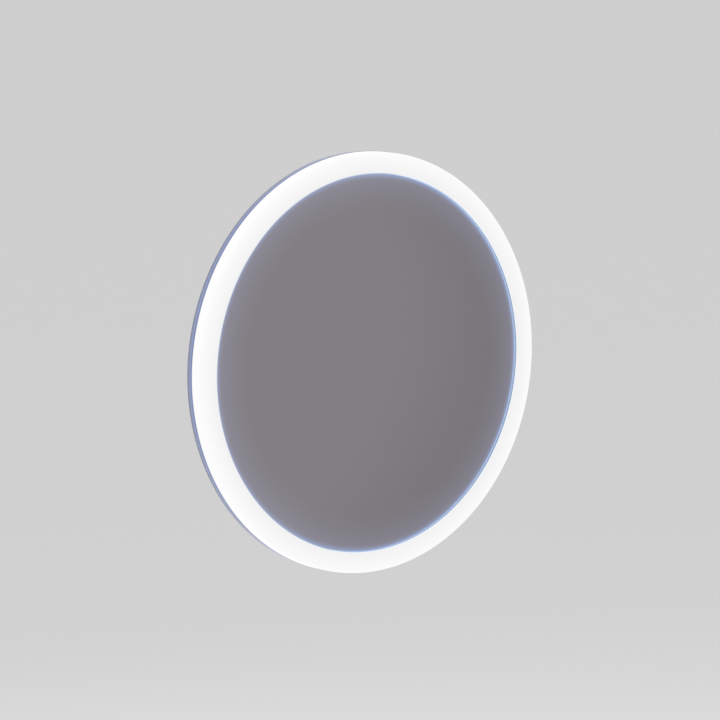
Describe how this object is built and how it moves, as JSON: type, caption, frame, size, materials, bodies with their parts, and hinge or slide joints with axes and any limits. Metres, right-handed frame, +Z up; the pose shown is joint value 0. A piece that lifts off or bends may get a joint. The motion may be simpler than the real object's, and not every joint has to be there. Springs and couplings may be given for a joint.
{
  "type": "lighted mirror",
  "caption": "Round wall-hung mirror framed by a lit acrylic ring, on a flat back that hooks onto a wall bracket.",
  "frame": {"origin": "on the wall, midway between the wall bracket's two screw holes", "axes": "+Z up, -Y out of the mirror's face towards the room, +Y into the wall, +X to the viewer's right"},
  "size_m": [0.5999, 0.0395, 0.6],
  "materials": {
    "opal_acrylic": "opal acrylic, satin, lit from inside",
    "clear_acrylic": "clear acrylic with a bluish polished edge",
    "glass": "polished float glass",
    "silver": "silvered film",
    "foam_tape": "closed-cell foam",
    "aluminium": "spun, bare",
    "white_film": "matt white film",
    "circuit_tape": "white solder mask",
    "led_lens": "phosphor in a clear lens",
    "painted_steel": "powder-coated, light grey, fine texture",
    "zinc_steel": "zinc-plated steel",
    "spring_steel": "bright spring wire",
    "rubber": "moulded, matt",
    "white_plastic": "moulded, fine texture",
    "grey_plastic": "moulded, fine texture",
    "brass": "bright, stamped",
    "circuit_board": "green solder mask",
    "ferrite": "sintered",
    "capacitor_sleeve": "shrink sleeve",
    "blue_lead": "wire insulation",
    "brown_lead": "wire insulation",
    "green_lead": "wire insulation, green with a yellow stripe",
    "black_lead": "wire insulation",
    "red_lead": "wire insulation",
    "white_lead": "wire insulation"
  },
  "bodies": {
    "wall_bracket": {"wall_bracket": "zinc_steel"},
    "left_stud": {"left_foot_stud": "zinc_steel"},
    "right_stud": {"right_foot_stud": "zinc_steel"},
    "left_pad": {"left_foot_pad": "rubber"},
    "right_pad": {"right_foot_pad": "rubber"},
    "button": {"switch_button": "grey_plastic"},
    "mirror": {"light_ring": "opal_acrylic", "clear_ring": "clear_acrylic", "mirror_glass": "glass", "silver_backing": "silver", "mounting_tape": "foam_tape", "chassis": "aluminium", "reflector_film": "white_film", "led_tape": "circuit_tape", "leds": "led_lens", "back_cover": "painted_steel", "cover_gasket": "foam_tape", "cover_screws": "zinc_steel", "hanger_rail": "zinc_steel", "rail_rivets": "aluminium", "foot_nuts": "zinc_steel", "switch_housing": "white_plastic", "switch_spring": "spring_steel", "switch_contacts": "brass", "switch_screws": "zinc_steel", "driver_case": "white_plastic", "driver_lid": "white_plastic", "driver_board": "circuit_board", "driver_transformer": "ferrite", "driver_capacitors": "capacitor_sleeve", "driver_screws": "zinc_steel", "terminal_block": "grey_plastic", "terminal_cages": "brass", "terminal_screws": "zinc_steel", "block_screws": "zinc_steel", "cable_grommet": "rubber", "cord_clamp": "grey_plastic", "clamp_screws": "zinc_steel", "earth_stud": "zinc_steel", "earth_tag": "brass", "earth_washer": "zinc_steel", "earth_nut": "zinc_steel", "neutral_lead": "blue_lead", "live_lead": "brown_lead", "earth_lead": "green_lead", "feed_lead_minus": "black_lead", "feed_lead_plus": "red_lead", "switch_lead": "white_lead", "lead_clips": "white_plastic"}
  },
  "joints": [
    {"name": "mirror_lift", "type": "slide", "parent": "wall_bracket", "child": "mirror", "axis": [0, 0, 1], "range_m": [0, 0.012]},
    {"name": "button_press", "type": "slide", "parent": "mirror", "child": "button", "axis": [0, 0, 1], "range_m": [0, 0.0015], "stiffness_N_per_m": 300, "springref_m": -0.002, "deforming": ["switch_spring"]},
    {"name": "left_foot_reach", "type": "slide", "parent": "mirror", "child": "left_pad", "axis": [0, -1, 0], "range_m": [0, 0.0024]},
    {"name": "left_stud_turn", "type": "hinge", "parent": "left_pad", "child": "left_stud", "pos_m": [-0.16999, 0, -0.34501], "axis": [0, -1, 0], "range_deg": [0, 1090]},
    {"name": "right_foot_reach", "type": "slide", "parent": "mirror", "child": "right_pad", "axis": [0, -1, 0], "range_m": [0, 0.0024]},
    {"name": "right_stud_turn", "type": "hinge", "parent": "right_pad", "child": "right_stud", "pos_m": [0.16999, 0, -0.34501], "axis": [0, -1, 0], "range_deg": [0, 1090]}
  ],
  "couplings": [
    {"joint": "left_stud_turn", "follows": "left_foot_reach", "rad_per_m": 7854},
    {"joint": "right_stud_turn", "follows": "right_foot_reach", "rad_per_m": 7854}
  ]
}
